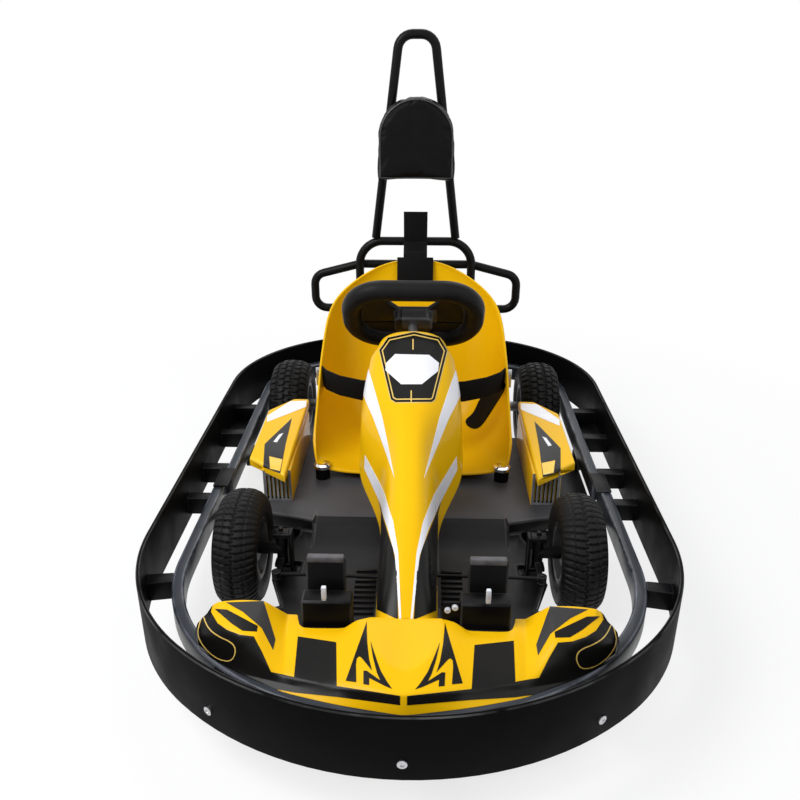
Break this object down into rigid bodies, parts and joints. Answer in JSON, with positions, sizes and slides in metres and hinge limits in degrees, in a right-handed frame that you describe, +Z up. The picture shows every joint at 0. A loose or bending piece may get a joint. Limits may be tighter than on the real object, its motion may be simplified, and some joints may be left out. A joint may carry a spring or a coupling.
{
  "type": "racing kart",
  "caption": "Low racing kart with an all-round bumper band, wide yellow nose, bucket seat, headrest hoop, steered front wheels and a driven rear axle.",
  "frame": {"origin": "on the floor, under the middle of the bumper band", "axes": "+Z up, the kart's front faces -Y, +X to the right of someone who faces the kart's front"},
  "size_m": [1.096, 1.73, 1.197],
  "materials": {
    "black_plastic": "fine grain",
    "yellow_plastic": "glossy",
    "bow_paint": "satin",
    "frame_paint": "powder coat",
    "steel": "machined",
    "motor_metal": "cast",
    "tyre": "matt rubber",
    "vinyl": "grained vinyl",
    "webbing": "woven"
  },
  "bodies": {
    "chassis": {"bumper_band": "black_plastic", "bumper_front_bow": "bow_paint", "bumper_rear_bow": "bow_paint", "bumper_spacers": "bow_paint", "frame_rails": "frame_paint", "frame_crosses": "frame_paint", "front_yokes": "frame_paint", "column_support": "frame_paint", "floor_pan": "black_plastic", "pedals": "black_plastic", "nose_fairing": "yellow_plastic", "steering_cowl": "yellow_plastic", "seat_shell": "yellow_plastic", "side_pod_left": "yellow_plastic", "side_pod_right": "yellow_plastic", "batteries": "black_plastic", "seat_hoop": "frame_paint", "grab_rail": "frame_paint", "headrest_hoop": "frame_paint", "headrest_pad": "vinyl", "shoulder_belt": "webbing", "lap_belt": "webbing", "axle_bearings": "steel", "drive_motor": "motor_metal", "drive_chain": "steel", "brake_caliper": "bow_paint"},
    "steering": {"steering_column": "steel", "steering_wheel": "black_plastic"},
    "knuckle_left": {"knuckle_left": "steel"},
    "knuckle_right": {"knuckle_right": "steel"},
    "tie_rod_left": {"tie_rod_left": "steel"},
    "tie_rod_right": {"tie_rod_right": "steel"},
    "front_wheel_left": {"front_rim_left": "steel", "front_tyre_left": "tyre"},
    "front_wheel_right": {"front_rim_right": "steel", "front_tyre_right": "tyre"},
    "rear_axle": {"rear_axle": "steel", "rear_rims": "steel", "rear_tyre_left": "tyre", "rear_tyre_right": "tyre", "sprocket": "steel", "brake_disc": "steel"}
  },
  "joints": [
    {"name": "steering_turn", "type": "hinge", "parent": "chassis", "child": "steering", "pos_m": [0, 0.132, 0.545], "axis": [0, 0.8039, 0.5948], "range_deg": [-66, 66]},
    {"name": "kingpin_left", "type": "hinge", "parent": "chassis", "child": "knuckle_left", "pos_m": [-0.285, -0.283, 0.132], "axis": [0, 0, 1], "range_deg": [-20, 20]},
    {"name": "rod_end_left", "type": "hinge", "parent": "knuckle_left", "child": "tie_rod_left", "pos_m": [-0.285, -0.363, 0.12], "axis": [0, 0, 1], "range_deg": [-20, 20]},
    {"name": "front_wheel_left_spin", "type": "hinge", "parent": "knuckle_left", "child": "front_wheel_left", "pos_m": [-0.37, -0.283, 0.132], "axis": [1, 0, 0], "continuous": true},
    {"name": "kingpin_right", "type": "hinge", "parent": "chassis", "child": "knuckle_right", "pos_m": [0.285, -0.283, 0.132], "axis": [0, 0, 1], "range_deg": [-20, 20]},
    {"name": "rod_end_right", "type": "hinge", "parent": "knuckle_right", "child": "tie_rod_right", "pos_m": [0.285, -0.363, 0.12], "axis": [0, 0, 1], "range_deg": [-20, 20]},
    {"name": "front_wheel_right_spin", "type": "hinge", "parent": "knuckle_right", "child": "front_wheel_right", "pos_m": [0.37, -0.283, 0.132], "axis": [1, 0, 0], "continuous": true},
    {"name": "rear_axle_spin", "type": "hinge", "parent": "chassis", "child": "rear_axle", "pos_m": [0, 0.487, 0.136], "axis": [1, 0, 0], "continuous": true}
  ],
  "couplings": [
    {"joint": "kingpin_left", "follows": "steering_turn", "ratio": -0.30303},
    {"joint": "rod_end_left", "follows": "steering_turn", "ratio": 0.30303},
    {"joint": "kingpin_right", "follows": "steering_turn", "ratio": -0.30303},
    {"joint": "rod_end_right", "follows": "steering_turn", "ratio": 0.30303}
  ]
}
